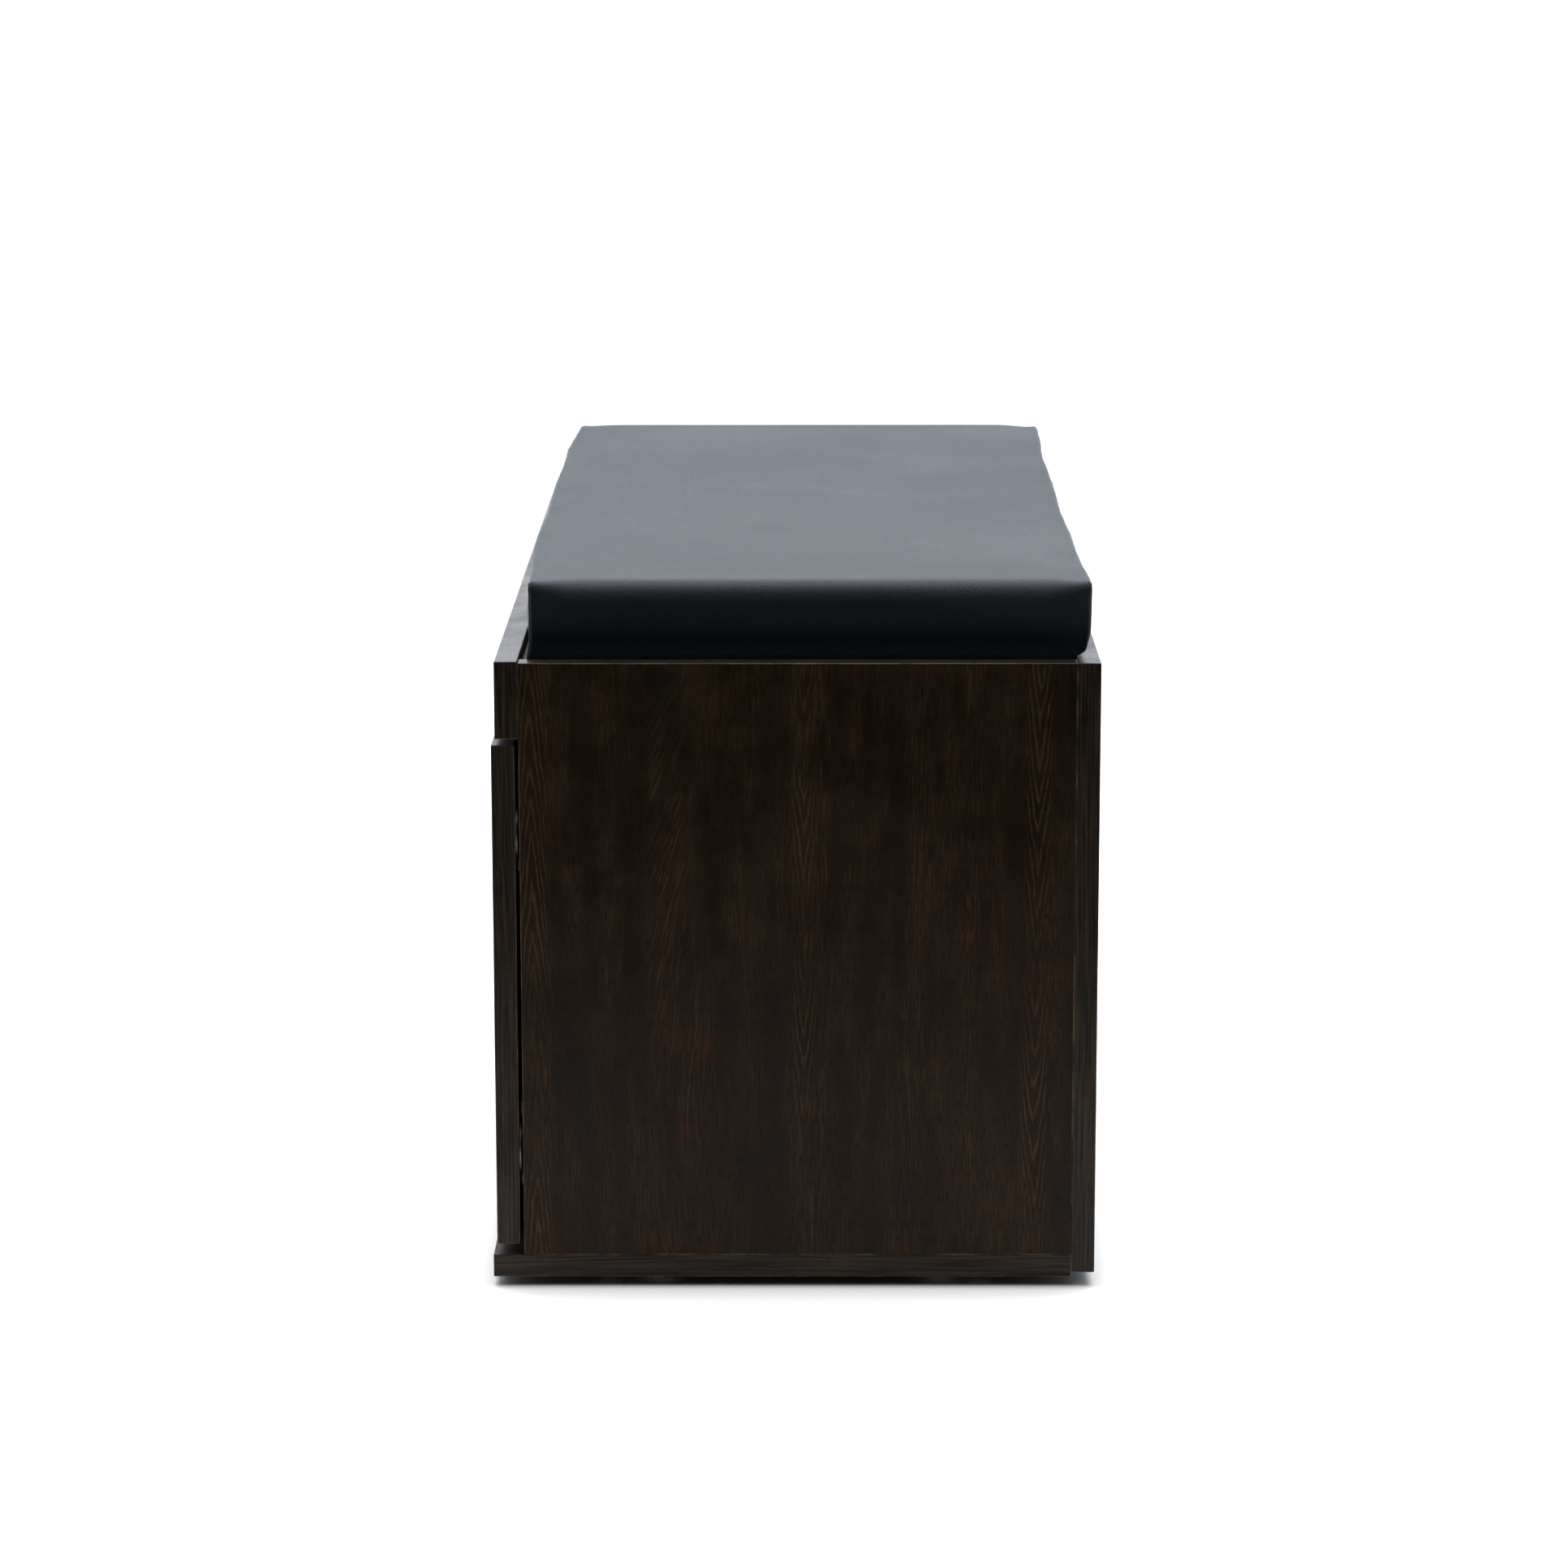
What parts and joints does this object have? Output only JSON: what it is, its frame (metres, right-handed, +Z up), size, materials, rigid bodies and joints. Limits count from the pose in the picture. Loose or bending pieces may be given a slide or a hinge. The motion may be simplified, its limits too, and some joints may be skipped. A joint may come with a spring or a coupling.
{
  "type": "storage bench",
  "caption": "Low storage bench: dark wood-grain cabinet with hinged front doors, inner shelves and a loose dark leatherette seat cushion.",
  "frame": {"origin": "on the floor, under the middle of the bench's length and depth", "axes": "+X along the bench, -Y towards the door side, +Z up"},
  "size_m": [0.8012, 0.39, 0.46],
  "materials": {
    "laminate": "dark wenge wood-grain laminate on particle board, satin, fine pores along the grain",
    "zinc_steel": "zinc plated",
    "nickel_steel": "nickel plated, satin bright",
    "zinc_casting": "die-cast zinc, dull",
    "beech": "raw fluted beech",
    "white_plastic": "moulded white, satin",
    "dark_cap_plastic": "dark brown, fine grained",
    "grey_plastic": "moulded grey, matte",
    "clear_rubber": "soft translucent",
    "faux_leather": "near-black blue leatherette, fine pebble grain, satin sheen",
    "foam": "open-cell polyurethane foam",
    "plywood": "raw thin plywood"
  },
  "bodies": {
    "carcass": {"bottom_board": "laminate", "side_panel_left": "laminate", "side_panel_right": "laminate", "back_panel": "laminate", "front_rail": "laminate", "seat_board": "laminate", "centre_divider": "laminate", "shelf_left": "laminate", "shelf_right": "laminate", "base_screws": "zinc_steel", "side_screws": "zinc_steel", "back_screws": "zinc_steel", "cam_bolts": "zinc_steel", "glide_nails": "zinc_steel", "plate_screws": "zinc_steel", "arm_screws": "zinc_steel", "latch_screws": "zinc_steel", "shelf_pins": "nickel_steel", "hinge_plates": "nickel_steel", "hinge_arms": "nickel_steel", "hinge_pins": "nickel_steel", "cam_locks": "zinc_casting", "dowels": "beech", "glides": "white_plastic", "screw_caps": "dark_cap_plastic", "latch_housings": "grey_plastic"},
    "door_left": {"door_left": "laminate", "hinge_cups_left": "nickel_steel", "cup_screws_left": "zinc_steel", "strike_plate_left": "nickel_steel", "door_bumpers_left": "clear_rubber"},
    "door_right": {"door_right": "laminate", "hinge_cups_right": "nickel_steel", "cup_screws_right": "zinc_steel", "strike_plate_right": "nickel_steel", "door_bumpers_right": "clear_rubber"},
    "latch_plunger_left": {"latch_plunger_left": "grey_plastic"},
    "latch_plunger_right": {"latch_plunger_right": "grey_plastic"},
    "cushion": {"cushion_cover": "faux_leather", "cushion_foam": "foam", "cushion_board": "plywood"}
  },
  "joints": [
    {"name": "door_left_hinge", "type": "hinge", "parent": "carcass", "child": "door_left", "pos_m": [-0.394, -0.185, 0.193], "axis": [0, 0, -1], "range_deg": [0, 100]},
    {"name": "door_right_hinge", "type": "hinge", "parent": "carcass", "child": "door_right", "pos_m": [0.394, -0.185, 0.193], "axis": [0, 0, 1], "range_deg": [0, 100]},
    {"name": "latch_left_slide", "type": "slide", "parent": "carcass", "child": "latch_plunger_left", "axis": [0, -1, 0], "range_m": [0, 0.014]},
    {"name": "latch_right_slide", "type": "slide", "parent": "carcass", "child": "latch_plunger_right", "axis": [0, -1, 0], "range_m": [0, 0.014]},
    {"name": "cushion_lift", "type": "slide", "parent": "carcass", "child": "cushion", "axis": [0, 0, 1], "range_m": [0, 0.12]}
  ],
  "couplings": [
    {"joint": "latch_left_slide", "follows": "door_left_hinge", "m_per_rad": 0.008},
    {"joint": "latch_right_slide", "follows": "door_right_hinge", "m_per_rad": 0.008}
  ]
}
